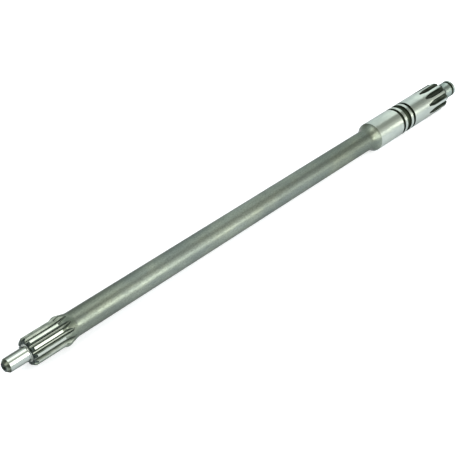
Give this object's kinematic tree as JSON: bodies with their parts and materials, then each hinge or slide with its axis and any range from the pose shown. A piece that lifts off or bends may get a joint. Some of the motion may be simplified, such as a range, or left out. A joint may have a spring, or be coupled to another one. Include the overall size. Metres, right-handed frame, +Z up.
{
  "type": "splined shaft",
  "caption": "Long steel shaft with a pilot end, a splined collar at one end, and a grooved journal with a second spline and a spigot at the other.",
  "frame": {"origin": "on the shaft's axis, midway between its two ends", "axes": "+X along the axis, from the small pilot end towards the ring-grooved journal and the rear spigot; +Z up as the shaft lies"},
  "size_m": [0.6438, 0.0318, 0.0318],
  "materials": {
    "machined_steel": "satin turned bar, ground journals, dull forged fillet"
  },
  "bodies": {
    "root": {"splined_shaft": "machined_steel"}
  },
  "joints": []
}
